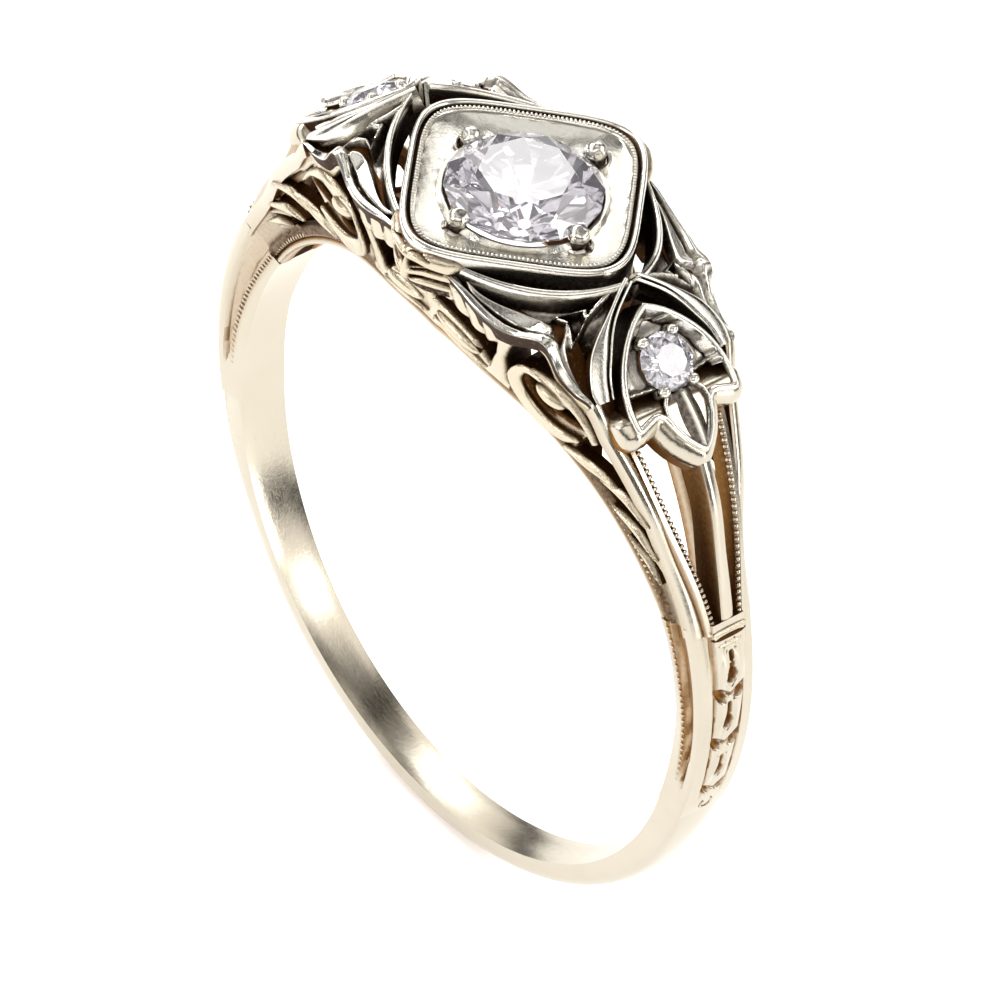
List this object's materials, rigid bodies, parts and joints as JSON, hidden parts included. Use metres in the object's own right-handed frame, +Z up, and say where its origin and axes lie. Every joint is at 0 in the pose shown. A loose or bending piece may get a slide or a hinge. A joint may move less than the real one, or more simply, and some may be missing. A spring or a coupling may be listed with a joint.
{
  "type": "engagement ring",
  "caption": "Filigree white-gold ring: cushion box setting with a round diamond, leaf-shaped side collets, pierced galleries and a split shank.",
  "frame": {"origin": "centre of the finger hole", "axes": "+Z up through the head, +Y along the finger, +X towards the right shoulder"},
  "size_m": [0.0188, 0.0068, 0.0213],
  "materials": {
    "shank_gold": "polished",
    "gallery_gold": "satin",
    "head_white_gold": "polished",
    "diamond": "polished"
  },
  "bodies": {
    "root": {"shank_lower": "shank_gold", "shoulder_right": "shank_gold", "shoulder_left": "shank_gold", "crossbars_right": "gallery_gold", "crossbars_left": "gallery_gold", "bellflowers_right": "shank_gold", "bellflowers_left": "shank_gold", "outer_rail_front_right": "shank_gold", "outer_rail_front_left": "shank_gold", "outer_rail_back_right": "shank_gold", "outer_rail_back_left": "shank_gold", "milgrain_rail_front_right": "shank_gold", "milgrain_rail_front_left": "shank_gold", "milgrain_rail_back_right": "shank_gold", "milgrain_rail_back_left": "shank_gold", "centre_bar_right": "shank_gold", "centre_bar_left": "shank_gold", "finger_rail_front": "shank_gold", "finger_rail_back": "shank_gold", "gallery_front": "gallery_gold", "gallery_back": "gallery_gold", "scrolls_front": "gallery_gold", "scrolls_back": "gallery_gold", "head_box": "head_white_gold", "head_plate": "head_white_gold", "centre_diamond": "diamond", "bead_prong_front": "head_white_gold", "bead_prong_right": "head_white_gold", "bead_prong_back": "head_white_gold", "bead_prong_left": "head_white_gold", "arc_wire_front_right": "head_white_gold", "arc_wire_front_left": "head_white_gold", "arc_wire_back_right": "head_white_gold", "arc_wire_back_left": "head_white_gold", "top_web_front_right": "head_white_gold", "top_web_front_left": "head_white_gold", "top_web_back_right": "head_white_gold", "top_web_back_left": "head_white_gold", "crescent_rib_front_right": "head_white_gold", "crescent_rib_front_left": "head_white_gold", "crescent_rib_back_right": "head_white_gold", "crescent_rib_back_left": "head_white_gold", "corner_leaf_front": "gallery_gold", "corner_leaf_back": "gallery_gold", "side_collet_right": "head_white_gold", "side_collet_left": "head_white_gold", "side_plate_right": "head_white_gold", "side_plate_left": "head_white_gold", "side_diamond_right": "diamond", "side_diamond_left": "diamond", "side_beads_right": "head_white_gold", "side_beads_left": "head_white_gold", "tulip_right": "shank_gold", "tulip_left": "shank_gold", "navette_leaf_right": "head_white_gold", "navette_leaf_left": "head_white_gold"}
  },
  "joints": []
}
